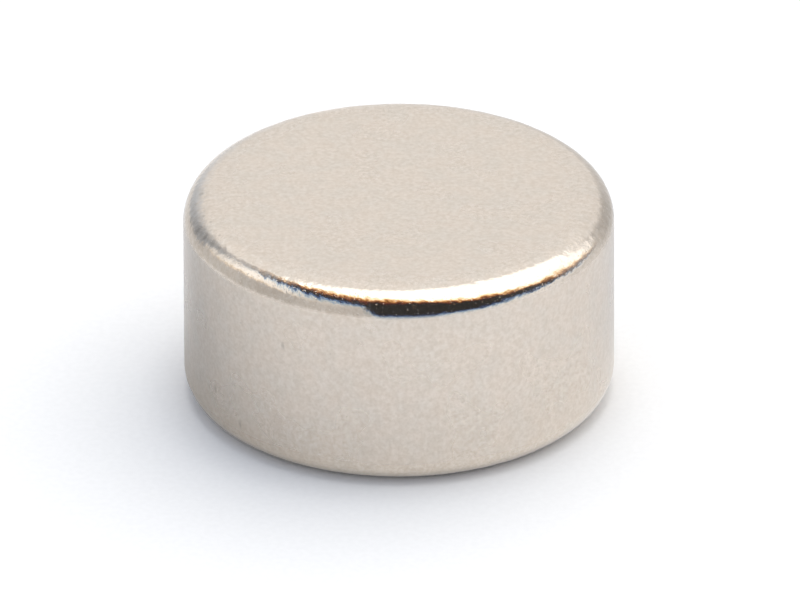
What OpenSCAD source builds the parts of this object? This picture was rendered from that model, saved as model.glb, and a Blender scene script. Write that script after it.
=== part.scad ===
// Disc magnet: one sintered disc with ground faces, tumbled edges and bright nickel plating.
// Sizes are in millimetres and are taken over the plating. The origin is the centre of the
// face that the magnet stands on, and +Z runs along its axis. Both ends are alike.

/* [Disc] */
// Diameter of the round side
disc_d = 10; // [5:0.5:40]
// Thickness from one ground face to the other
disc_h = 5; // [2.5:0.5:20]

/* [Tumbled edges] */
// Radius that tumbling leaves on the corner between a face and the side
corner_r = 0.62; // [0.1:0.02:0.9]
// Width of the band in which a face starts to fall away towards the corner
rolloff_w = 0.56; // [0.2:0.02:1]
// Slope that the face has reached where the corner takes over, in degrees
rolloff_slope = 4; // [1:0.5:8]

/* [Plating] */
// Colour of the plating
plating = "#DBD2C5"; // [#DBD2C5:Bright nickel, #C9CDD2:Zinc, #D8B35C:Gold]

/* [Hidden] */

// Segments of every drawn circle
$fn = 180;

// Radius of the round side
disc_r = disc_d / 2;

// Radius of the roll-off arc, which leaves the flat face level and ends at rolloff_slope
rolloff_r = rolloff_w / sin(rolloff_slope);

// Distance between the centres of the roll-off arc and the corner arc, which touch each other
centre_gap = rolloff_r - corner_r;

// Radius at which the corner arc has its centre
corner_x = disc_r - corner_r;

// Radius of the truly flat part of a face, where the roll-off starts
flat_r = corner_x - centre_gap * sin(rolloff_slope);

// Height of a tumbled edge, from the face to where the straight wall starts
edge_h = rolloff_r - centre_gap * cos(rolloff_slope);

// Lift of the corner arc, so that it crosses the end of the roll-off arc and leaves no gap
lap = 0.00005;

// One tumbled edge under a face at height zero: the roll-off band, then the corner
module edge_section() {
    intersection() {
        translate([flat_r, -rolloff_r]) circle(r = rolloff_r);
        translate([flat_r, -disc_h / 2]) square([rolloff_w, disc_h / 2]);
    }
    translate([corner_x, lap - edge_h]) circle(r = corner_r);
}

// Half of the section through the axis: core, straight wall and the same edge at both ends
module half_section() {
    square([flat_r, disc_h]);
    translate([0, edge_h]) square([disc_r, disc_h - 2 * edge_h]);
    translate([0, disc_h]) edge_section();
    mirror([0, 1]) edge_section();
}

// The magnet itself, one solid turned about its axis
module magnet() {
    color(plating) rotate_extrude() half_section();
}

magnet();
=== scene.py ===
from collections import namedtuple
from functools import partial
from math import acos, atan2, cos, hypot, pi, radians, sin, tan

import bmesh
import bpy
from bpy.props import FloatProperty, FloatVectorProperty, IntProperty, PointerProperty
from mathutils import Matrix, Vector, noise


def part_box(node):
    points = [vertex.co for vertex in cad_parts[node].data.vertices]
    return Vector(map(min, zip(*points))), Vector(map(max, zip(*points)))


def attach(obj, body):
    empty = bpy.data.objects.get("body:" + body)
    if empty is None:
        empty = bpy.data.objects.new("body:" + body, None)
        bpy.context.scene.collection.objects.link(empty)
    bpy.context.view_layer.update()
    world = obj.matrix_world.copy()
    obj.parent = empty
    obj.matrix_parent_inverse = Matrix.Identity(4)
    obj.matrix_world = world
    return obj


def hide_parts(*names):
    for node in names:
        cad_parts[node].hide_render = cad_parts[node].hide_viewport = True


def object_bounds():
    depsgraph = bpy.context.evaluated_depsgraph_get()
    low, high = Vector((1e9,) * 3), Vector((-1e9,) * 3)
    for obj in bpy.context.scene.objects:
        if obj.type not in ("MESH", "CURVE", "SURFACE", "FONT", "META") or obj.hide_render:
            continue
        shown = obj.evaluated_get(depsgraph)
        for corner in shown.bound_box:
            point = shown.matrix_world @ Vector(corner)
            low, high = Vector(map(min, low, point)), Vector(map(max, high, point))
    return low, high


bl_info = {
    "name": "Disc Magnet",
    "version": (1, 0, 0),
    "blender": (4, 5, 0),
    "location": "3D View > Sidebar > Disc Magnet",
    "description": "Builds the finished disc magnet and the stage that it stands on",
    "category": "Object",
}

MM = 0.001
MICRON = 0.000001

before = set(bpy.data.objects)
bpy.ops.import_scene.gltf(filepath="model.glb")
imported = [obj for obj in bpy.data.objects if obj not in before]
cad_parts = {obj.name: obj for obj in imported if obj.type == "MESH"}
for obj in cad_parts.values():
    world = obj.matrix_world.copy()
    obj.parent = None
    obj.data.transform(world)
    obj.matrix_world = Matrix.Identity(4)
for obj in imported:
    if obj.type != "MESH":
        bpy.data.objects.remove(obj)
CAD_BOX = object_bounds()
NODE = "magnet"

# Steps of the body's mesh: lengths in millimetres across the upper and the lower face, counts
# along the roll-off and the corner of the upper and the lower edge, and a count down the wall
UPPER_FACE_STEP = 0.16
LOWER_FACE_STEP = 0.6
UPPER_EDGE_STEPS = (12, 34)
LOWER_EDGE_STEPS = (4, 16)
WALL_STEPS = 28

# Vertices that a ring keeps at the least
FEWEST_VERTICES = 12

# Tilts of the surface between which a tumbled edge loses its polish towards the wall
POLISH_FADE = (radians(72), radians(90))

# Shifts that give the waves and the ground unevenness patterns of their own, and how much finer
# the ground unevenness is than the waves
WAVE_SHIFT = Vector((7, 3, 5))
GROUND_SHIFT = Vector((2, 9, 4))
GROUND_FINENESS = 1.5

# Layout of the unwrapped surface: the centres of the two faces, their level and radius, then
# the left end, width, foot and height of the strip between them
DISC_CENTRES = (0.25, 0.75)
DISC_LEVEL = 0.25
DISC_RADIUS = 0.24
STRIP_LEFT = 0.004
STRIP_WIDTH = 0.99
STRIP_FOOT = 0.52
STRIP_HEIGHT = 0.46

# Slack for rounding when a run is compared with the radius of the flat face
SLACK = 1.0001

# One turn of vertices about the axis: its radius and height, the tilt of the surface away from
# the axis in radians, how much the ring belongs to a tumbled edge, and its number of vertices
Ring = namedtuple("Ring", "radius height tilt tumbled count")

# A small mark in the plating: its azimuth in degrees, its distance in millimetres along the
# surface from the rim of the flat upper face, its radius and its depth in millimetres
Mark = namedtuple("Mark", "azimuth run size depth")

MARKS = (
    Mark(-92, 0.72, 0.050, 0.0040),
    Mark(-78.5, 0.76, 0.030, 0.0018),
    Mark(-74, 0.68, 0.034, 0.0020),
    Mark(-65.5, 0.71, 0.030, 0.0010),
    Mark(-74, 1.04, 0.075, 0.0045),
    Mark(-69, 0.99, 0.050, 0.0030),
    Mark(-68, 1.13, 0.045, 0.0030),
    Mark(-64.5, 0.96, 0.050, 0.0030),
    Mark(-60.5, 0.94, 0.040, 0.0025),
    Mark(-32.5, 2.59, 0.035, 0.0010),
    Mark(-58.5, 4.49, 0.040, 0.0012),
    Mark(-47.5, 5.04, 0.035, 0.0008),
)

# How far a mark reaches, in its own radii
MARK_REACH = 2

# A noise in a material: the length of its features, its detail, its shift, and the two values
# between which it takes effect
Pattern = namedtuple("Pattern", "length detail shift low high")

BLOOM = Pattern(0.55 * MM, 3.0, 0.01, 0.35, 0.70)
HAZE = Pattern(1.6 * MM, 2.0, 0.03, 0.3, 0.7)
SPECKS = Pattern(0.10 * MM, 1.0, 0.05, 0.76, 0.84)
MOTTLE = Pattern(0.13 * MM, 2.0, 0.07, 0.3, 0.7)
DIMPLES = Pattern(0.045 * MM, 0.0, 0.09, 0.74, 0.84)
TOOTH = Pattern(0.15 * MM, 3.0, 0.0, 0.3, 0.7)

# Detail of the nickel's grain, and the two values between which it takes effect on the colour
GRAIN_DETAIL = 1.0
GRAIN_RANGE = (0.25, 0.75)

# Painted shade, a tint of the nickel in the hollows of its bumped grain; the tint of the low parts
# of its mottle, a tone that differs at random; and the lift that makes up for them
GRAIN_HOLLOW_SHADE = (0.93, 0.92, 0.905)
MOTTLE_TINT = (0.925, 0.91, 0.89)
LIFT = (1.065, 1.075, 1.09)

# How much grime shows in specks and marks, what haze and grime add to the roughness, and how
# deep the grain is on the ground surfaces as a share of its depth on the tumbled edges
SPECK_GRIME = 0.25
MARK_GRIME = 0.55
HAZE_ROUGHNESS = 0.012
GRIME_ROUGHNESS = 0.2
GROUND_RELIEF = 0.15

# How dark the hollows of the floor's tooth are, as a share of its colour
TOOTH_SHADE = 0.975

# The cards are painted reflections: glowing and dark boards that only the metal's reflections show and
# that light and shade nothing
# One station of a card that stands round the magnet: its azimuth in degrees, the heights in
# millimetres of its foot, of the lower and upper ends of its full shade and of its top, then
# how light it is and how much of it is solid. Heights below zero lie on the floor, where they
# are seen past the magnet's foot, and are a little lighter.
Station = namedtuple("Station", "azimuth foot shade_from shade_to top tone cover")

# Painted dark reflection with brown and blue fringes: the black band along the front of the edge
FRONT_CARD = (
    Station(-19, 9, 18, 24.5, 73, 0.05, 0.00),
    Station(-16, 6, 15, 24.3, 73, 0.05, 0.75),
    Station(-13, 2, 11.5, 24.1, 74, 0.05, 1.00),
    Station(-10.5, -2.5, 8, 24.0, 74, 0.05, 1.00),
    Station(-8, -4.5, 6.5, 24.0, 75, 0.05, 1.00),
    Station(0, -4.5, 6.3, 26.0, 69, 0.05, 1.00),
    Station(9, -4.5, 6.0, 26.5, 65, 0.05, 1.00),
    Station(17, -4.0, 6.3, 22.5, 55, 0.05, 1.00),
    Station(24, -1.5, 6.3, 19.5, 51, 0.05, 1.00),
    Station(31, -2.0, 6.0, 18.5, 40, 0.05, 1.00),
    Station(38, -2.0, 6.2, 16.0, 36, 0.05, 1.00),
    Station(45, -1.5, 6.7, 15.5, 32, 0.05, 1.00),
    Station(51, -0.5, 7.5, 14.0, 29.5, 0.06, 1.00),
    Station(58, 1.0, 8.0, 12.5, 25, 0.07, 1.00),
    Station(65, 2.2, 7.6, 10.5, 21.5, 0.08, 1.00),
    Station(71, 2.6, 7.0, 9.5, 19, 0.09, 1.00),
    Station(78, 2.8, 6.3, 6.8, 20, 0.09, 1.00),
    Station(84, 2.8, 5.5, 6.0, 18, 0.10, 0.90),
    Station(90, 2.6, 5.0, 5.5, 16, 0.12, 0.85),
    Station(97, 2.4, 4.6, 5.0, 13, 0.15, 0.78),
    Station(104, 2.2, 4.2, 4.6, 12, 0.20, 0.70),
    Station(110, 2.0, 3.8, 4.2, 10, 0.30, 0.55),
    Station(118, 2.0, 3.6, 4.0, 9, 0.40, 0.00),
)

# Painted reflection: a glowing pale board in front, which the faces mirror when seen from behind
PALE_CARD = (
    Station(-12, -4, 0, 17, 23, 1.05, 0.00),
    Station(-8, -4, 0, 18, 24, 1.10, 1.00),
    Station(9, -4, 0, 18, 24, 1.10, 1.00),
    Station(24, -4, 0, 16, 21, 1.10, 1.00),
    Station(38, -4, 0, 14, 18, 1.10, 1.00),
    Station(51, -3, 0, 12, 16, 1.10, 1.00),
    Station(65, -1, 1, 8.5, 12, 1.10, 1.00),
    Station(75, 1, 3, 6, 8, 1.10, 0.00),
)

# Painted dark reflection: the dark line along the left of the edge
LEFT_BAR = (
    Station(-122, 20, 27, 29, 46, 0.80, 0.00),
    Station(-112, 23, 31, 34, 52, 0.66, 0.80),
    Station(-98, 29, 35.5, 38, 57, 0.46, 0.92),
    Station(-92, 28.5, 36, 39, 60, 0.34, 1.00),
    Station(-84, 26.5, 36.5, 37.5, 68, 0.22, 1.00),
    Station(-75, 24, 35.5, 37, 76, 0.13, 1.00),
    Station(-66, 22, 35, 37.5, 86, 0.09, 1.00),
    Station(-57, 18, 33, 36.5, 88, 0.07, 1.00),
    Station(-48, 14, 31, 36.5, 87, 0.06, 1.00),
    Station(-40, 13, 29, 34.5, 84, 0.06, 1.00),
    Station(-32, 14, 28, 31, 80, 0.06, 1.00),
    Station(-23, 12, 25, 26, 72, 0.06, 1.00),
    Station(-15, 10.5, 22, 22.5, 69, 0.05, 1.00),
    Station(-11, 9.5, 20.5, 23, 70, 0.05, 1.00),
)

# Painted shade in the reflections behind at the left
BACK_CARD = (
    Station(-174, 2, 5, 7, 20, 0.90, 0.00),
    Station(-160, 2, 5, 8, 25, 0.84, 0.60),
    Station(-150, 2, 5.5, 9, 27, 0.74, 1.00),
    Station(-140, 2, 6, 9, 31, 0.64, 1.00),
    Station(-133, 3, 8, 11, 34, 0.54, 1.00),
    Station(-126, 2, 7, 10.5, 37, 0.42, 1.00),
    Station(-119, 2, 8, 15, 44, 0.49, 1.00),
    Station(-115.5, 4, 11, 19, 46, 0.50, 1.00),
    Station(-111.5, 12, 19, 22, 44, 0.63, 0.90),
    Station(-104, 20, 28, 31, 50, 0.70, 0.00),
)

# Painted highlight: the bright band along the left of the edge
LEFT_PAINTED_HIGHLIGHT = (
    Station(-118, 7, 11, 12, 17, 0.95, 0.00),
    Station(-110, 8, 13, 15, 21, 1.00, 0.60),
    Station(-101, 9, 16, 19, 27, 1.20, 1.00),
    Station(-90, 12, 20, 27, 37, 1.50, 1.00),
    Station(-78, 14, 21, 29, 38, 1.45, 1.00),
    Station(-67, 14, 20, 25, 34, 1.30, 1.00),
    Station(-56, 13, 17, 20, 30, 1.15, 0.90),
    Station(-44, 11, 14, 17, 26, 1.00, 0.50),
    Station(-30, 9, 12, 15, 22, 0.95, 0.40),
    Station(-16, 9, 12, 14, 18, 0.90, 0.10),
)

# Painted shade in the reflections at the left
LEFT_CARD = (
    Station(-172, -6, 1, 4, 10, 0.90, 0.00),
    Station(-150, -10, -4, 5, 12, 0.84, 0.85),
    Station(-133, -10, -4, 6, 16, 0.74, 0.95),
    Station(-118, -11, -4, 8, 26, 0.68, 1.00),
    Station(-103, -9, 2, 8, 30, 0.75, 1.00),
    Station(-86, -7, 3.5, 10, 36, 0.72, 1.00),
    Station(-78, -7, 4, 10, 38, 0.66, 1.00),
    Station(-70, -6, 5, 12, 38, 0.63, 1.00),
    Station(-58, -6, 6, 13, 38, 0.64, 1.00),
    Station(-44, -6, 6, 13, 38, 0.70, 1.00),
    Station(-27, -6, 6, 12, 36, 0.72, 1.00),
    Station(-11, -6, 6, 12, 34, 0.66, 1.00),
)

# Painted shade in the reflections at the right and behind
RIGHT_CARD = (
    Station(78, -8, -4, 1, 5, 0.88, 0.00),
    Station(88, -9, -4, 0.5, 2, 0.86, 0.80),
    Station(100, -10, -4, 0.5, 3, 0.84, 0.85),
    Station(108, -10, -4, 1, 6, 0.82, 0.90),
    Station(116, -11, -4, 9, 17, 0.76, 0.90),
    Station(120, -12, -4, 13, 23, 0.72, 0.95),
    Station(125, -12, -4, 11, 24, 0.64, 1.00),
    Station(133, -12, -3, 9, 23, 0.57, 1.00),
    Station(141, -13, -4, 8, 21, 0.61, 1.00),
    Station(150, -15, -6, 7, 18, 0.69, 0.95),
    Station(160, -16, -7, 6, 15, 0.74, 0.90),
    Station(172, -14, -6, 5, 12, 0.80, 0.70),
    Station(186, -11, -4, 5, 10, 0.88, 0.00),
)

# The mats are painted shade and light: sheets on the floor that only the metal's reflections show and
# that light and shade nothing
# One line across a mat that lies on the floor round the magnet: its azimuth in degrees where it
# meets the magnet, how light it is and how much of it is solid
Line = namedtuple("Line", "azimuth tone cover")

# Painted shade: the floor darker in the side's reflections at the left and the right
SIDE_PAINTED_SHADE = (
    Line(-99, 0.75, 0.00),
    Line(-92, 0.72, 0.60),
    Line(-87, 0.70, 0.60),
    Line(-82, 0.58, 0.50),
    Line(-77, 0.50, 0.65),
    Line(-70, 0.47, 0.80),
    Line(-61, 0.45, 0.72),
    Line(-52, 0.45, 0.56),
    Line(-47, 0.45, 0.48),
    Line(-40, 0.45, 0.38),
    Line(-33, 0.45, 0.28),
    Line(-24, 0.45, 0.17),
    Line(0, 0.60, 0.16),
    Line(40, 0.60, 0.15),
    Line(60, 0.60, 0.18),
    Line(72, 0.60, 0.33),
    Line(80, 0.63, 0.50),
    Line(86, 0.72, 0.60),
    Line(92, 0.74, 0.60),
    Line(99, 0.80, 0.00),
)

# Painted shade and light: the floor round the foot as the lower edge mirrors it, darker at the left
# and next to the foot, lighter at the right
BASE_PAINTED_LIGHT_AND_SHADE = (
    Line(-150, 0.45, 0.00),
    Line(-110, 0.45, 0.90),
    Line(-75, 0.43, 0.90),
    Line(-60, 0.47, 0.90),
    Line(-40, 0.59, 0.90),
    Line(-20, 0.74, 0.90),
    Line(0, 0.85, 0.90),
    Line(30, 0.97, 0.90),
    Line(60, 1.05, 0.90),
    Line(110, 1.00, 0.90),
    Line(150, 1.00, 0.00),
)

# The circles that a mat's lines cross: radius in millimetres, how far each line has swept on
# round the magnet there as a share of its own azimuth, how light and how solid the mat is there
Circle = namedtuple("Circle", "radius sweep tone cover")

SIDE_CIRCLES = (
    Circle(5.0, 0.00, 1.0, 1.0),
    Circle(6.0, 0.25, 1.0, 1.0),
    Circle(8.3, 0.47, 1.0, 1.0),
    Circle(11.2, 0.62, 1.0, 0.85),
    Circle(13.5, 0.68, 1.0, 0.60),
    Circle(17.0, 0.76, 1.0, 0.0),
)

BASE_CIRCLES = (
    Circle(4.40, 0.0, 0.30, 1.0),
    Circle(4.60, 0.0, 0.42, 1.0),
    Circle(4.78, 0.0, 0.64, 1.0),
    Circle(4.92, 0.0, 0.85, 1.0),
    Circle(5.13, 0.0, 0.95, 1.0),
    Circle(5.50, 0.0, 1.00, 0.9),
    Circle(6.30, 0.0, 1.00, 0.5),
    Circle(7.50, 0.0, 1.00, 0.2),
    Circle(9.50, 0.0, 1.00, 0.0),
)

# Cards of painted reflection that stand at or behind the ring: name, stations, millimetres behind
# the ring, which keep the cards apart, and board
RING_CARDS = (
    ("pale_card", PALE_CARD, 0.8, "plain_painted_reflection"),
    ("left_bar", LEFT_BAR, 0, "fringed_painted_reflection"),
    ("back_card", BACK_CARD, 0.3, "cool_painted_reflection"),
    ("left_painted_highlight", LEFT_PAINTED_HIGHLIGHT, 0.6, "fringed_painted_reflection"),
    ("left_card", LEFT_CARD, 1, "plain_painted_reflection"),
    ("right_card", RIGHT_CARD, 1, "plain_painted_reflection"),
)

# Mats of painted shade and light: name, lines, circles, millimetres above the floor and board
PAINTED_MATS = (
    ("side_painted_shade", SIDE_PAINTED_SHADE, SIDE_CIRCLES, 0.02, "cool_painted_reflection"),
    ("base_painted_light_and_shade", BASE_PAINTED_LIGHT_AND_SHADE, BASE_CIRCLES, 0.03, "fringed_painted_reflection"),
)

# Columns in the mesh of a card and of a mat, and rows between two heights of a card
CARD_COLUMNS = 121
MAT_COLUMNS = 241
ROW_STEPS = 4

# Tints of the boards
WHITE = (1, 1, 1)
COOL = (0.93, 1.0, 1.10)

# Where a board's soft edges lie on its edge values, which run from -1 at a card's foot through
# 0 in its full shade to 1 at its top
LOWER_FADE = (-0.95, -0.25)
UPPER_FADE = (0.0, 0.8)

# How far red, green and blue lag on the soft edges of a plain and of a fringed board
NO_LAGS = (0, 0, 0)
LOWER_LAGS = (0, 0.07, 0.17)
UPPER_LAGS = (0, 0.105, 0.215)

# Height in millimetres of the corner that reflects the cards
CORNER_HEIGHT = 4.6

# Height in millimetres at which a card lies on the floor
FLOOR_GAP = 0.05

# How much of the way to white a card is lighter where it lies on the floor
FLOOR_LIFT = 0.3

# How far from the magnet's edge a card stays when it is drawn in, as a share of its full way,
# and the azimuths in degrees between which it runs out to its full way
CLOSE_SHARE = 0.05
CLOSE_UNTIL = 62
FULL_FROM = 84

# Rounds in which the point of the edge that mirrors a card is found
MIRROR_ROUNDS = 8

# Half the width of the floor in metres
FLOOR_HALF = 3.0

# Where a lamp stands and how large it looks from the magnet, in degrees
Aim = namedtuple("Aim", "azimuth elevation half_angle")

OVERHEAD_LAMP = Aim(133, 87, 12)
SIDE_LAMP = Aim(135.6, 45, 48)

# Distance of the lamps in metres
LAMP_DISTANCE = 0.5

# Painted highlights that only the metal's reflections show and that light nothing: brightness added
# to the room round one direction, with its azimuth and elevation, the angles within which it is full
# and past which it is none, all in degrees, and its share of the full strength
Glow = namedtuple("Glow", "azimuth elevation inner outer share")

GLOWS = (
    Glow(9, 65, 38, 51.5, 1.0),
    Glow(72, 59, 31, 45, 1.0),
    Glow(99, 25, 13, 27, 0.8),
)

# Heights on a sphere of radius 1 between which the room grows brighter, and how bright it is
# below and above them
ROOM_HEIGHTS = (0.50, 0.66)
ROOM_BRIGHTNESS = (1.0, 1.13)

# Strength of the fill in the reflections that a matt surface receives
GLOSSY_FILL = 0.3

# Diffuse depth under which a ray hasn't met a matt surface
UNSCATTERED = 0.5

# The camera's sensor width in millimetres and its nearest visible distance in metres
SENSOR_WIDTH = 36
CLIP_START = 0.01


class DiscMagnetShape(bpy.types.PropertyGroup):
    """Sizes of the turned form and of its unevenness"""

    corner_radius: FloatProperty(
        name="Corner radius",
        description="Radius that tumbling leaves between a face and the side",
        default=0.62 * MM,
        unit="LENGTH",
        precision=6,
    )
    rolloff_width: FloatProperty(
        name="Roll-off width",
        description="Width of the band in which a face falls away towards its corner",
        default=0.56 * MM,
        unit="LENGTH",
        precision=6,
    )
    rolloff_slope: FloatProperty(
        name="Roll-off slope",
        description="Slope that a face has reached where its corner begins",
        default=radians(4),
        unit="ROTATION",
        subtype="ANGLE",
    )
    segments: IntProperty(
        name="Segments",
        description="Vertices round the side, a power of two times three",
        default=768,
    )
    ripple_height: FloatProperty(
        name="Ripple height",
        description="Depth of the fine ripple that the tumbled edges carry",
        default=4.5 * MICRON,
        unit="LENGTH",
        precision=8,
    )
    ripple_length: FloatProperty(
        name="Ripple length",
        description="Distance between the crests of the fine ripple",
        default=0.13 * MM,
        unit="LENGTH",
        precision=6,
    )
    wave_height: FloatProperty(
        name="Wave height",
        description="Depth of the broad waves along the tumbled edges",
        default=3.0 * MICRON,
        unit="LENGTH",
        precision=8,
    )
    wave_length: FloatProperty(
        name="Wave length",
        description="Distance between the crests of the broad waves",
        default=0.6 * MM,
        unit="LENGTH",
        precision=6,
    )
    ground_height: FloatProperty(
        name="Ground unevenness",
        description="Depth of the unevenness that grinding leaves on the faces and the side",
        default=0.3 * MICRON,
        unit="LENGTH",
        precision=8,
    )


class DiscMagnetFinish(bpy.types.PropertyGroup):
    """Colours and textures of the nickel plating"""

    plating: FloatVectorProperty(
        name="Plating",
        description="Colour of the bright nickel",
        default=(0.70, 0.622, 0.545),
        subtype="COLOR",
        size=3,
        min=0,
        max=1,
    )
    bloom: FloatVectorProperty(
        name="Bloom",
        description="Colour of the faint cooler patches in the nickel",
        default=(0.682, 0.618, 0.548),
        subtype="COLOR",
        size=3,
        min=0,
        max=1,
    )
    grime: FloatVectorProperty(
        name="Grime",
        description="Colour of the pits and specks in the plating",
        default=(0.30, 0.27, 0.23),
        subtype="COLOR",
        size=3,
        min=0,
        max=1,
    )
    grain_length: FloatProperty(
        name="Grain length",
        description="Size of the grains in the ground and plated surface",
        default=0.07 * MM,
        unit="LENGTH",
        precision=6,
    )
    grain_depth: FloatProperty(
        name="Grain depth",
        description="Depth of the grains on the tumbled edges",
        default=3.0 * MICRON,
        unit="LENGTH",
        precision=8,
    )
    ground_roughness: FloatProperty(
        name="Ground roughness",
        description="Roughness of the faces and the side",
        default=0.28,
        subtype="FACTOR",
        min=0,
        max=1,
    )
    tumbled_roughness: FloatProperty(
        name="Tumbled roughness",
        description="Roughness of the polished, tumbled edges",
        default=0.12,
        subtype="FACTOR",
        min=0,
        max=1,
    )


class DiscMagnetStage(bpy.types.PropertyGroup):
    """Floor, light and camera"""

    floor_colour: FloatVectorProperty(
        name="Floor",
        description="Colour of the pale floor",
        default=(0.94, 0.94, 0.94),
        subtype="COLOR",
        size=3,
        min=0,
        max=1,
    )
    fill_colour: FloatVectorProperty(
        name="Fill",
        description="Colour of the even light that fills the shadows",
        default=(0.615, 0.655, 0.735),
        subtype="COLOR",
        size=3,
        min=0,
        max=1,
    )
    overhead_colour: FloatVectorProperty(
        name="Overhead lamp colour",
        description="Colour of the lamp above the magnet",
        default=(0.93, 0.96, 1.0),
        subtype="COLOR",
        size=3,
        min=0,
        max=1,
    )
    side_colour: FloatVectorProperty(
        name="Side lamp colour",
        description="Colour of the warm lamp behind the magnet at the right",
        default=(1.0, 0.92, 0.78),
        subtype="COLOR",
        size=3,
        min=0,
        max=1,
    )
    overhead_radiance: FloatProperty(
        name="Overhead lamp",
        description="Brightness of the lamp above, where 1 is white",
        default=3.63,
    )
    side_radiance: FloatProperty(
        name="Side lamp",
        description="Brightness of the side lamp, where 1 is white",
        default=1.1,
    )
    # Painted highlights: the glows show only in the metal's reflections and light nothing
    painted_glow_radiance: FloatProperty(
        name="Overhead glow",
        description="Brightness of the lit ceiling that the nickel mirrors, where 1 is white",
        default=2.0,
    )
    card_radius: FloatProperty(
        name="Card radius",
        description="Distance from the magnet's axis to the cards that stand round it",
        default=28 * MM,
        unit="LENGTH",
        precision=5,
    )
    camera_elevation: FloatProperty(
        name="Camera elevation",
        description="Angle of the camera above the floor",
        default=radians(28.4),
        unit="ROTATION",
        subtype="ANGLE",
    )
    camera_roll: FloatProperty(
        name="Camera roll",
        description="Turn of the camera about its own axis",
        default=radians(-0.2),
        unit="ROTATION",
        subtype="ANGLE",
    )
    camera_distance: FloatProperty(
        name="Camera distance",
        description="Distance from the camera to the middle of the magnet",
        default=0.6,
        unit="LENGTH",
    )
    camera_lens: FloatProperty(
        name="Camera lens",
        description="Focal length in millimetres on a sensor 36 mm wide",
        default=1162.8,
        min=1,
        max=5000,
        unit="CAMERA",
    )
    aim_right: FloatProperty(
        name="Aim right",
        description="How far right of the middle of the magnet the camera aims",
        default=0.021 * MM,
        unit="LENGTH",
        precision=6,
    )
    aim_up: FloatProperty(
        name="Aim up",
        description="How far above the middle of the magnet the camera aims, in the picture",
        default=-0.255 * MM,
        unit="LENGTH",
        precision=6,
    )


# Shape of the magnet


def blend(low, high, value):
    """0 below low, 1 above high and a smooth step between them."""
    share = min(max((value - low) / (high - low), 0), 1)
    return share * share * (3 - 2 * share)


class Profile:
    """The turned outline, as rings from the middle of the upper face to that of the lower one."""

    def __init__(self, shape, low, high):
        self.shape = shape
        self.top = high.z
        self.bottom = low.z
        self.radius = min(high.x - low.x, high.y - low.y) / 2
        self.slope = shape.rolloff_slope
        self.rolloff_radius = shape.rolloff_width / sin(self.slope)
        gap = self.rolloff_radius - shape.corner_radius
        self.corner_centre = self.radius - shape.corner_radius
        self.flat_radius = self.corner_centre - gap * sin(self.slope)
        self.edge_height = self.rolloff_radius - gap * cos(self.slope)

    def edge(self, rolloff_steps, corner_steps):
        """Radius, depth below the face, tilt and tumbled share along one edge, from the face out."""
        stations = []
        for step in range(1, rolloff_steps + 1):
            tilt = self.slope * step / rolloff_steps
            radius = self.flat_radius + self.rolloff_radius * sin(tilt)
            depth = self.rolloff_radius * (1 - cos(tilt))
            stations.append((radius, depth, tilt))
        for step in range(1, corner_steps + 1):
            tilt = self.slope + (pi / 2 - self.slope) * step / corner_steps
            radius = self.corner_centre + self.shape.corner_radius * sin(tilt)
            depth = self.edge_height - self.shape.corner_radius * cos(tilt)
            stations.append((radius, depth, tilt))
        return stations

    def tumbled(self, tilt):
        """How polished the edge is where it has turned by this tilt: 0 on a face and on the side."""
        return blend(0, self.slope * 2, tilt) * (1 - blend(*POLISH_FADE, tilt))

    def face(self, step, height, tilt):
        """Rings of a flat face from its middle out, with fewer vertices towards the middle."""
        rings = []
        count = self.shape.segments
        radius = self.flat_radius
        while radius > step / 2:
            rings.append(Ring(radius, height, tilt, 0, count))
            radius -= step
            sparse = radius < self.flat_radius * count / self.shape.segments / 2
            if sparse and count > FEWEST_VERTICES:
                count //= 2
        return rings[::-1]

    def rings(self):
        """All rings, from the middle of the upper face to the middle of the lower face."""
        count = self.shape.segments
        result = self.face(UPPER_FACE_STEP * MM, self.top, 0)
        for radius, depth, tilt in self.edge(*UPPER_EDGE_STEPS):
            result.append(Ring(radius, self.top - depth, tilt, self.tumbled(tilt), count))
        wall_top = self.top - self.edge_height
        wall_bottom = self.bottom + self.edge_height
        for step in range(1, WALL_STEPS):
            height = wall_top + (wall_bottom - wall_top) * step / WALL_STEPS
            result.append(Ring(self.radius, height, pi / 2, 0, count))
        for radius, depth, tilt in self.edge(*LOWER_EDGE_STEPS)[::-1]:
            result.append(Ring(radius, self.bottom + depth, pi - tilt, self.tumbled(tilt), count))
        result.extend(self.face(LOWER_FACE_STEP * MM, self.bottom, pi)[::-1])
        return result


def outward(azimuth, tilt):
    """Direction away from the surface. Azimuth 0 faces the front, and grows to the right."""
    return Vector((sin(azimuth) * sin(tilt), -cos(azimuth) * sin(tilt), cos(tilt)))


def around(azimuth, radius, height):
    """A point at a radius about the axis."""
    return Vector((sin(azimuth) * radius, -cos(azimuth) * radius, height))


def ring_runs(rings):
    """Distance of each ring from the middle of the upper face, along the surface."""
    runs = [rings[0].radius]
    for before, after in zip(rings, rings[1:]):
        step = hypot(after.radius - before.radius, after.height - before.height)
        runs.append(runs[-1] + step)
    return runs


def mark_points(profile, rings, runs):
    """Middle of each mark, on the ring nearest to its distance along the surface."""
    points = []
    for mark in MARKS:
        run = profile.flat_radius + mark.run * MM
        nearest = min(range(len(rings)), key=lambda index: abs(runs[index] - run))
        ring = rings[nearest]
        points.append(around(radians(mark.azimuth), ring.radius, ring.height))
    return points


def unevenness(shape, point, tumbled):
    """Depth of the ripple, the waves and the ground unevenness at a point."""
    ripple = noise.noise(point / shape.ripple_length)
    wave = noise.noise(point / shape.wave_length + WAVE_SHIFT)
    ground = noise.noise(point / shape.wave_length * GROUND_FINENESS + GROUND_SHIFT)
    depth = tumbled * shape.ripple_height * (1 + ripple)
    depth += tumbled * shape.wave_height * (1 + wave)
    depth += (1 - tumbled) * shape.ground_height * (1 + ground)
    return depth


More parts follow.
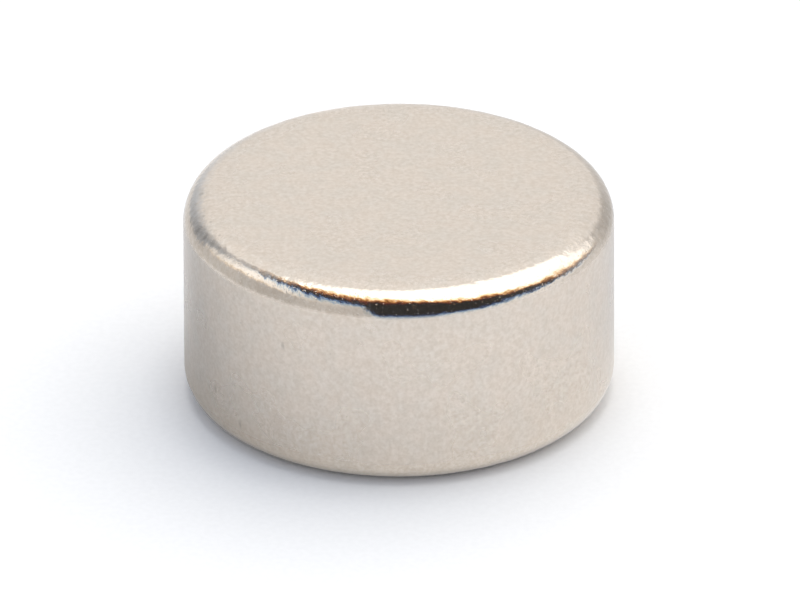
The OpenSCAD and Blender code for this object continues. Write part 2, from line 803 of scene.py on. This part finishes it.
def join_rings(mesh, above, below):
    """Faces between two neighbouring rings, of which one may have half as many vertices."""
    if len(above) == len(below):
        for index in range(len(above)):
            after = (index + 1) % len(above)
            mesh.faces.new((above[index], below[index], below[after], above[after]))
        return
    wide, narrow = (above, below) if len(above) > len(below) else (below, above)
    for index in range(len(narrow)):
        after = (index + 1) % len(narrow)
        first, middle = wide[2 * index], wide[2 * index + 1]
        last = wide[(2 * index + 2) % len(wide)]
        mesh.faces.new((narrow[index], first, middle))
        mesh.faces.new((narrow[index], middle, narrow[after]))
        mesh.faces.new((narrow[after], middle, last))


def unwrap(mesh, profile, ring_of, runs):
    """Lays the two faces out as discs and everything between them as one strip."""
    layer = mesh.loops.layers.uv.new("OFBake")
    flat = profile.flat_radius
    strip_from = max(index for index, run in enumerate(runs) if run <= flat * SLACK)
    strip_to = min(index for index, run in enumerate(runs) if runs[-1] - run < flat)
    strip_length = runs[strip_to] - runs[strip_from]
    scale = DISC_RADIUS / flat
    for face in mesh.faces:
        indexes = [ring_of[loop.vert.index] for loop in face.loops]
        if max(indexes) <= strip_from or min(indexes) >= strip_to:
            centre = DISC_CENTRES[0] if max(indexes) <= strip_from else DISC_CENTRES[1]
            for loop in face.loops:
                place = loop.vert.co
                loop[layer].uv = (centre + place.x * scale, DISC_LEVEL + place.y * scale)
            continue
        turns = [atan2(loop.vert.co.x, -loop.vert.co.y) / (2 * pi) + 0.5 for loop in face.loops]
        wraps = max(turns) - min(turns) > 0.5
        for loop, turn, index in zip(face.loops, turns, indexes):
            share = (runs[index] - runs[strip_from]) / strip_length
            across = turn + 1 if wraps and turn < 0.5 else turn
            loop[layer].uv = (STRIP_LEFT + across * STRIP_WIDTH, STRIP_FOOT + STRIP_HEIGHT * share)


def build_body(shape):
    """Mesh of the whole magnet, with its unevenness and marks."""
    low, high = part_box(NODE)
    profile = Profile(shape, low, high)
    rings = profile.rings()
    runs = ring_runs(rings)
    marks = list(zip(MARKS, mark_points(profile, rings, runs)))
    mesh = bmesh.new()
    polished = mesh.verts.layers.float.new("tumbled")
    marked = mesh.verts.layers.float.new("marked")
    loops = []
    ring_of = []
    for number, ring in enumerate(rings):
        loop = []
        for index in range(ring.count):
            azimuth = 2 * pi * index / ring.count
            point = around(azimuth, ring.radius, ring.height)
            depth = unevenness(shape, point, ring.tumbled)
            stain = 0
            for mark, middle in marks:
                distance = (point - middle).length / (mark.size * MM)
                if distance < MARK_REACH:
                    dent = 1 - blend(0, MARK_REACH, distance)
                    depth += mark.depth * MM * dent
                    stain = max(stain, dent)
            vertex = mesh.verts.new(point - outward(azimuth, ring.tilt) * depth)
            vertex[polished] = ring.tumbled
            vertex[marked] = stain
            loop.append(vertex)
            ring_of.append(number)
        loops.append(loop)
    for above, below in zip(loops, loops[1:]):
        join_rings(mesh, above, below)
    mesh.faces.new(loops[0])
    mesh.faces.new(loops[-1])
    mesh.verts.index_update()
    bmesh.ops.recalc_face_normals(mesh, faces=mesh.faces)
    unwrap(mesh, profile, ring_of, runs)
    data = bpy.data.meshes.new("magnet_body")
    mesh.to_mesh(data)
    mesh.free()
    data.shade_smooth()
    body = bpy.data.objects.new("magnet_body", data)
    bpy.context.scene.collection.objects.link(body)
    return body


# Materials


class Nodes:
    """Short ways to add and link the nodes of one material or world."""

    def __init__(self, owner):
        owner.use_nodes = True
        self.tree = owner.node_tree
        self.tree.nodes.clear()

    def add(self, kind, links=None, **values):
        """A node with its properties set, and its inputs linked or set by name or number."""
        node = self.tree.nodes.new(kind)
        for name, value in values.items():
            setattr(node, name, value)
        for name, value in (links or {}).items():
            self.give(node.inputs[name], value)
        return node

    def give(self, socket, value):
        """Links an input to another node's output, or sets its own value."""
        if isinstance(value, bpy.types.NodeSocket):
            self.tree.links.new(value, socket)
        else:
            socket.default_value = value

    def math(self, operation, first, second=0.0):
        """Output of a Math node."""
        return self.add("ShaderNodeMath", {0: first, 1: second}, operation=operation).outputs[0]

    def noise(self, place, length, detail, shift=0.0):
        """Output of a noise whose features are about one length wide."""
        shifted = self.add("ShaderNodeVectorMath", {0: place, 1: (shift,) * 3}).outputs[0]
        links = {"Vector": shifted, "Scale": 1 / length, "Detail": detail, "Roughness": 0.5}
        return self.add("ShaderNodeTexNoise", links).outputs["Fac"]

    def range(self, value, low, high, to_low=0.0, to_high=1.0):
        """Output of a smooth Map Range node."""
        links = {"Value": value, "From Min": low, "From Max": high}
        links.update({"To Min": to_low, "To Max": to_high})
        return self.add("ShaderNodeMapRange", links, interpolation_type="SMOOTHSTEP").outputs[0]

    def pattern(self, place, pattern, to_low=0.0, to_high=1.0):
        """Output of a noise, from to_low to to_high between the values where it takes effect."""
        value = self.noise(place, pattern.length, pattern.detail, pattern.shift)
        return self.range(value, pattern.low, pattern.high, to_low, to_high)

    def mix(self, share, first, second, how="MIX"):
        """Output of a colour Mix node."""
        node = self.add("ShaderNodeMix", data_type="RGBA", blend_type=how)
        self.give(node.inputs[0], share)
        self.give(node.inputs[6], first)
        self.give(node.inputs[7], second)
        return node.outputs[2]


def opaque(colour):
    """A colour with its alpha."""
    return (*colour, 1)


def nickel(finish):
    """Bright nickel: satin with a fine grain where it is ground, smoother where it is tumbled."""
    material = bpy.data.materials.new("nickel_plating")
    nodes = Nodes(material)
    place = nodes.add("ShaderNodeTexCoord").outputs["Object"]
    tumbled = nodes.add("ShaderNodeAttribute", attribute_name="tumbled").outputs["Fac"]
    marked = nodes.add("ShaderNodeAttribute", attribute_name="marked").outputs["Fac"]
    grain = nodes.noise(place, finish.grain_length, GRAIN_DETAIL)

    patches = nodes.pattern(place, BLOOM)
    colour = nodes.mix(patches, opaque(finish.plating), opaque(finish.bloom))
    # Painted shade: the nickel is darker where the bump's grain is low
    hollows = nodes.range(grain, *GRAIN_RANGE, 1.0, 0.0)
    colour = nodes.mix(hollows, colour, opaque(GRAIN_HOLLOW_SHADE), "MULTIPLY")
    hollows = nodes.pattern(place, MOTTLE, 1.0, 0.0)
    colour = nodes.mix(hollows, colour, opaque(MOTTLE_TINT), "MULTIPLY")
    colour = nodes.mix(1.0, colour, opaque(LIFT), "MULTIPLY")
    specked = nodes.math("MULTIPLY", nodes.pattern(place, SPECKS), SPECK_GRIME)
    dirty = nodes.math("MAXIMUM", specked, nodes.math("MULTIPLY", marked, MARK_GRIME))
    colour = nodes.mix(dirty, colour, opaque(finish.grime))

    rough = nodes.range(tumbled, 0.0, 1.0, finish.ground_roughness, finish.tumbled_roughness)
    rough = nodes.math("ADD", rough, nodes.pattern(place, HAZE, -HAZE_ROUGHNESS, HAZE_ROUGHNESS))
    rough = nodes.math("ADD", rough, nodes.math("MULTIPLY", dirty, GRIME_ROUGHNESS))
    relief = nodes.math("MULTIPLY", grain, nodes.range(tumbled, 0.0, 1.0, GROUND_RELIEF, 1.0))
    dimples = nodes.math("MULTIPLY", nodes.pattern(place, DIMPLES), tumbled)
    relief = nodes.math("SUBTRACT", relief, dimples)
    links = {"Height": relief, "Strength": 1.0, "Distance": finish.grain_depth}
    bump = nodes.add("ShaderNodeBump", links).outputs[0]
    links = {"Base Color": colour, "Metallic": 1.0, "Roughness": rough, "Normal": bump}
    surface = nodes.add("ShaderNodeBsdfPrincipled", links)
    nodes.add("ShaderNodeOutputMaterial", {"Surface": surface.outputs[0]})
    return material


def floor_paper(stage):
    """Matt pale paper with a barely visible tooth."""
    material = bpy.data.materials.new("floor_paper")
    nodes = Nodes(material)
    place = nodes.add("ShaderNodeTexCoord").outputs["Object"]
    darker = tuple(value * TOOTH_SHADE for value in stage.floor_colour)
    colour = nodes.mix(nodes.pattern(place, TOOTH), opaque(darker), opaque(stage.floor_colour))
    surface = nodes.add("ShaderNodeBsdfDiffuse", {"Color": colour})
    nodes.add("ShaderNodeOutputMaterial", {"Surface": surface.outputs[0]})
    return material


def painted_reflection_board(name, tint, lower_lags=NO_LAGS, upper_lags=NO_LAGS):
    """A painted reflection: a board that glows only in the metal, with soft edges that red, green and
    blue reach in turn.
    """
    material = bpy.data.materials.new(name)
    nodes = Nodes(material)
    edge = nodes.add("ShaderNodeAttribute", attribute_name="edge").outputs["Fac"]
    tone = nodes.add("ShaderNodeAttribute", attribute_name="tone").outputs["Fac"]
    cover = nodes.add("ShaderNodeAttribute", attribute_name="cover").outputs["Fac"]
    depth = nodes.add("ShaderNodeLightPath").outputs["Diffuse Depth"]
    cover = nodes.math("MULTIPLY", cover, nodes.math("LESS_THAN", depth, UNSCATTERED))
    shades, clears = [], []
    for share, lower_lag, upper_lag in zip(tint, lower_lags, upper_lags):
        below = nodes.range(edge, *(lower_lag + limit for limit in LOWER_FADE))
        above = nodes.range(edge, *(upper_lag + limit for limit in UPPER_FADE), 1.0, 0.0)
        shade = nodes.math("MULTIPLY", cover, nodes.math("MULTIPLY", below, above))
        shades.append(nodes.math("MULTIPLY", nodes.math("MULTIPLY", shade, tone), share))
        clears.append(nodes.math("SUBTRACT", 1.0, shade))
    shade = nodes.add("ShaderNodeCombineColor", dict(enumerate(shades))).outputs[0]
    clear = nodes.add("ShaderNodeCombineColor", dict(enumerate(clears))).outputs[0]
    light = nodes.add("ShaderNodeEmission", {"Color": shade, "Strength": 1.0}).outputs[0]
    clear = nodes.add("ShaderNodeBsdfTransparent", {"Color": clear}).outputs[0]
    both = nodes.add("ShaderNodeAddShader", {0: light, 1: clear}).outputs[0]
    nodes.add("ShaderNodeOutputMaterial", {"Surface": both})
    material.cycles.emission_sampling = "NONE"
    return material


# Stage


def stage_object(name, data, material):
    """Adds one object to the stage."""
    data.materials.append(material)
    thing = bpy.data.objects.new(name, data)
    bpy.context.scene.collection.objects.link(thing)
    return thing


def add_floor(stage):
    """A wide pale floor under the magnet."""
    data = bpy.data.meshes.new("floor")
    corners = [(-1, -1), (1, -1), (1, 1), (-1, 1)]
    points = [(x * FLOOR_HALF, y * FLOOR_HALF, CAD_BOX[0].z) for x, y in corners]
    data.from_pydata(points, [], [(0, 1, 2, 3)])
    stage_object("floor", data, floor_paper(stage))


def value_at(stations, azimuth):
    """The values of a card or mat at an azimuth between its stations."""
    for before, after in zip(stations, stations[1:]):
        if azimuth <= after.azimuth:
            share = (azimuth - before.azimuth) / (after.azimuth - before.azimuth)
            values = (low + (high - low) * share for low, high in zip(before, after))
            return type(after)(*values)
    return stations[-1]


def add_painted_reflection(name, points, faces, marks, material):
    """A painted reflection: a surface of the stage that only the metal's reflections show."""
    data = bpy.data.meshes.new(name)
    data.from_pydata(points, [], faces)
    for mark, values in marks.items():
        data.attributes.new(mark, "FLOAT", "POINT").data.foreach_set("value", values)
    thing = stage_object(name, data, material)
    thing.visible_camera = False
    thing.visible_diffuse = False
    thing.visible_shadow = False
    thing.visible_transmission = False
    thing.visible_volume_scatter = False


def grid_faces(columns, rows):
    """Faces of a grid of points that was filled column by column."""
    faces = []
    for column in range(columns - 1):
        for row in range(rows - 1):
            corner = column * rows + row
            faces.append((corner, corner + rows, corner + rows + 1, corner + 1))
    return faces


def card_rows(station, radius):
    """Rows of a card from foot to top: distance out, height, place on its soft edges and tone."""
    foot, lower, upper = station.foot, station.shade_from, station.shade_to
    turn = 0 if foot < 0 < lower else (foot + lower) / 2
    inner = 0 if lower < 0 else (lower + upper) / 2
    heights = (foot, (foot + turn) / 2, turn, lower, inner, upper, station.top)
    rows = []
    for height in heights:
        edge = min((height - lower) / (lower - foot), 0)
        if height > upper:
            edge = 1
        tone = station.tone
        distance = radius
        if height < 0:
            tone += (1 - tone) * FLOOR_LIFT
            reach = CORNER_HEIGHT / (CORNER_HEIGHT - height)
            distance = CAD_BOX[1].x + (radius - CAD_BOX[1].x) * reach
        rows.append((distance, max(height, FLOOR_GAP) * MM, edge, tone))
    return rows


def drawn_in(point, profile, eye):
    """A card's point, drawn in along the ray by which the magnet's edge mirrors it to the eye."""
    run_out = blend(radians(CLOSE_UNTIL), radians(FULL_FROM), atan2(point.x, -point.y))
    share = CLOSE_SHARE + (1 - CLOSE_SHARE) * run_out
    corner = Vector((0, 0, CORNER_HEIGHT * MM))
    for _ in range(MIRROR_ROUNDS):
        normal = ((point - corner).normalized() + (eye - corner).normalized()).normalized()
        tilt = acos(normal.z)
        radius = profile.corner_centre + profile.shape.corner_radius * sin(tilt)
        depth = profile.edge_height - profile.shape.corner_radius * cos(tilt)
        corner = around(atan2(normal.x, -normal.y), radius, profile.top - depth)
    return corner.lerp(point, share)


def finer(rows):
    """Rows of a card with more rows evenly between them."""
    fine = []
    for before, after in zip(rows, rows[1:]):
        for step in range(ROW_STEPS):
            share = step / ROW_STEPS
            fine.append(tuple(low + (high - low) * share for low, high in zip(before, after)))
    return fine + [rows[-1]]


def add_card(name, stations, radius, material, place=None):
    """A card of painted reflection bent round the magnet, each of its points moved by place if that is
    given.
    """
    points = []
    marks = {"edge": [], "tone": [], "cover": []}
    span = stations[-1].azimuth - stations[0].azimuth
    for column in range(CARD_COLUMNS):
        station = value_at(stations, stations[0].azimuth + span * column / (CARD_COLUMNS - 1))
        rows = finer(card_rows(station, radius))
        for distance, height, edge, tone in rows:
            point = around(radians(station.azimuth), distance, height)
            points.append(place(point) if place else point)
            marks["edge"].append(edge)
            marks["tone"].append(tone)
            marks["cover"].append(station.cover)
    add_painted_reflection(name, points, grid_faces(CARD_COLUMNS, len(rows)), marks, material)


def add_painted_mat(name, lines, circles, height, material):
    """A mat of painted shade and light on the floor round the magnet, which only the metal's
    reflections show.
    """
    points = []
    marks = {"edge": [], "tone": [], "cover": []}
    span = lines[-1].azimuth - lines[0].azimuth
    for column in range(MAT_COLUMNS):
        line = value_at(lines, lines[0].azimuth + span * column / (MAT_COLUMNS - 1))
        for circle in circles:
            azimuth = radians(line.azimuth * (1 + circle.sweep))
            points.append(around(azimuth, circle.radius * MM, height))
            marks["edge"].append(0)
            marks["tone"].append(line.tone * circle.tone)
            marks["cover"].append(line.cover * circle.cover)
    add_painted_reflection(name, points, grid_faces(MAT_COLUMNS, len(circles)), marks, material)


def add_lamp(name, aim, radiance, colour):
    """A soft round lamp that faces the magnet and lights all but the mirroring metal."""
    data = bpy.data.lights.new(name, "AREA")
    data.shape = "DISK"
    data.size = 2 * LAMP_DISTANCE * tan(radians(aim.half_angle))
    data.color = colour
    data.energy = radiance * pi * pi * data.size**2 / 4
    lamp = bpy.data.objects.new(name, data)
    away = outward(radians(aim.azimuth), radians(90 - aim.elevation))
    lamp.location = away * LAMP_DISTANCE
    lamp.rotation_euler = away.to_track_quat("Z", "Y").to_euler()
    lamp.visible_glossy = False
    bpy.context.scene.collection.objects.link(lamp)


def brighter(nodes, way, glow, strength):
    """What a glow, a painted highlight, adds to the brightness of the room in the direction of a ray.
    """
    middle = outward(radians(glow.azimuth), radians(90 - glow.elevation))
    toward = nodes.add("ShaderNodeVectorMath", {0: way, 1: middle}, operation="DOT_PRODUCT")
    limits = (cos(radians(glow.outer)), cos(radians(glow.inner)))
    return nodes.range(toward.outputs["Value"], *limits, 0.0, glow.share * strength)


def add_world(stage):
    """White surroundings, a bright room with soft glows, painted highlights that only the metal's
    reflections show, and even fill.
    """
    world = bpy.data.worlds.new("studio")
    nodes = Nodes(world)
    way = nodes.add("ShaderNodeTexCoord").outputs["Generated"]
    height = nodes.add("ShaderNodeSeparateXYZ", {0: way}).outputs["Z"]
    brightness = nodes.range(height, *ROOM_HEIGHTS, *ROOM_BRIGHTNESS)
    glows = [brighter(nodes, way, glow, stage.painted_glow_radiance - 1) for glow in GLOWS]
    brightest = glows[0]
    for other in glows[1:]:
        brightest = nodes.math("MAXIMUM", brightest, other)
    brightness = nodes.math("ADD", brightness, brightest)
    path = nodes.add("ShaderNodeLightPath").outputs
    mirrored = nodes.math("LESS_THAN", path["Diffuse Depth"], UNSCATTERED)
    mirrored = nodes.math("MULTIPLY", mirrored, path["Is Glossy Ray"])
    strength = nodes.range(path["Is Glossy Ray"], 0, 1, 1.0, GLOSSY_FILL)
    links = {"Color": opaque(stage.fill_colour), "Strength": strength}
    fill = nodes.add("ShaderNodeBackground", links).outputs[0]
    links = {"Color": opaque(WHITE), "Strength": brightness}
    room = nodes.add("ShaderNodeBackground", links).outputs[0]
    links = {"Color": opaque(WHITE), "Strength": 1.0}
    white = nodes.add("ShaderNodeBackground", links).outputs[0]
    mixed = nodes.add("ShaderNodeMixShader", {0: mirrored, 1: fill, 2: room}).outputs[0]
    mixed = nodes.add("ShaderNodeMixShader", {0: path["Is Camera Ray"], 1: mixed, 2: white}).outputs[0]
    nodes.add("ShaderNodeOutputWorld", {"Surface": mixed})
    world.cycles.sampling_method = "NONE"
    bpy.context.scene.world = world


def toward_camera(stage):
    """Direction from the magnet to the camera."""
    return outward(0, pi / 2 - stage.camera_elevation)


def add_camera(stage):
    """A long lens looking down at the front of the magnet."""
    low, high = CAD_BOX
    away = toward_camera(stage)
    right = Vector((1, 0, 0))
    up = away.cross(right)
    aim = (low + high) / 2 + right * stage.aim_right + up * stage.aim_up
    data = bpy.data.cameras.new("camera")
    data.lens = stage.camera_lens
    data.sensor_width = SENSOR_WIDTH
    data.clip_start = CLIP_START
    camera = bpy.data.objects.new("camera", data)
    turn = Matrix((right, up, away)).transposed().to_4x4()
    camera.matrix_world = Matrix.Translation(aim + away * stage.camera_distance) @ turn
    camera.matrix_world = camera.matrix_world @ Matrix.Rotation(stage.camera_roll, 4, "Z")
    bpy.context.scene.collection.objects.link(camera)
    bpy.context.scene.camera = camera


class OBJECT_OT_disc_magnet_body(bpy.types.Operator):
    """Build the plated magnet in place of its plain solid"""

    bl_idname = "object.disc_magnet_body"
    bl_label = "Magnet Body"

    def execute(self, context):
        scene = context.scene
        body = build_body(scene.disc_magnet_shape)
        body.data.materials.append(nickel(scene.disc_magnet_finish))
        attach(body, "root")
        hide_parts(NODE)
        return {"FINISHED"}


class OBJECT_OT_disc_magnet_stage(bpy.types.Operator):
    """Build the floor, the cards and mats of painted reflections, the lamps, the surroundings and the
    camera
    """

    bl_idname = "object.disc_magnet_stage"
    bl_label = "Stage"

    def execute(self, context):
        stage = context.scene.disc_magnet_stage
        add_floor(stage)
        boards = {
            "fringed_painted_reflection": painted_reflection_board("fringed_painted_reflection", WHITE, LOWER_LAGS, UPPER_LAGS),
            "plain_painted_reflection": painted_reflection_board("plain_painted_reflection", WHITE),
            "cool_painted_reflection": painted_reflection_board("cool_painted_reflection", COOL),
        }
        low, high = CAD_BOX
        profile = Profile(context.scene.disc_magnet_shape, *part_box(NODE))
        eye = (low + high) / 2 + toward_camera(stage) * stage.camera_distance
        close = partial(drawn_in, profile=profile, eye=eye)
        add_card("front_card", FRONT_CARD, stage.card_radius, boards["fringed_painted_reflection"], close)
        for name, stations, behind, board in RING_CARDS:
            add_card(name, stations, stage.card_radius + behind * MM, boards[board])
        for name, lines, circles, height, board in PAINTED_MATS:
            add_painted_mat(name, lines, circles, height * MM, boards[board])
        add_lamp("overhead_lamp", OVERHEAD_LAMP, stage.overhead_radiance, stage.overhead_colour)
        add_lamp("side_lamp", SIDE_LAMP, stage.side_radiance, stage.side_colour)
        add_world(stage)
        add_camera(stage)
        context.scene.view_settings.view_transform = "Standard"
        return {"FINISHED"}


class VIEW3D_PT_disc_magnet(bpy.types.Panel):
    """Sidebar panel with the magnet's operators and settings"""

    bl_label = "Disc Magnet"
    bl_idname = "VIEW3D_PT_disc_magnet"
    bl_space_type = "VIEW_3D"
    bl_region_type = "UI"
    bl_category = "Disc Magnet"

    def draw(self, context):
        for operator in OPERATORS:
            self.layout.operator(operator.bl_idname)
        for name, group in GROUPS:
            box = self.layout.box()
            settings = getattr(context.scene, name)
            for setting in group.__annotations__:
                box.prop(settings, setting)


GROUPS = (
    ("disc_magnet_shape", DiscMagnetShape),
    ("disc_magnet_finish", DiscMagnetFinish),
    ("disc_magnet_stage", DiscMagnetStage),
)
OPERATORS = (OBJECT_OT_disc_magnet_body, OBJECT_OT_disc_magnet_stage)
CLASSES = tuple(group for name, group in GROUPS) + OPERATORS + (VIEW3D_PT_disc_magnet,)


def register():
    for each in CLASSES:
        bpy.utils.register_class(each)
    for name, group in GROUPS:
        setattr(bpy.types.Scene, name, PointerProperty(type=group))


def unregister():
    for name, group in GROUPS:
        delattr(bpy.types.Scene, name)
    for each in reversed(CLASSES):
        bpy.utils.unregister_class(each)


def main():
    register()
    bpy.ops.object.disc_magnet_body()
    bpy.ops.object.disc_magnet_stage()


if __name__ == "__main__":
    main()
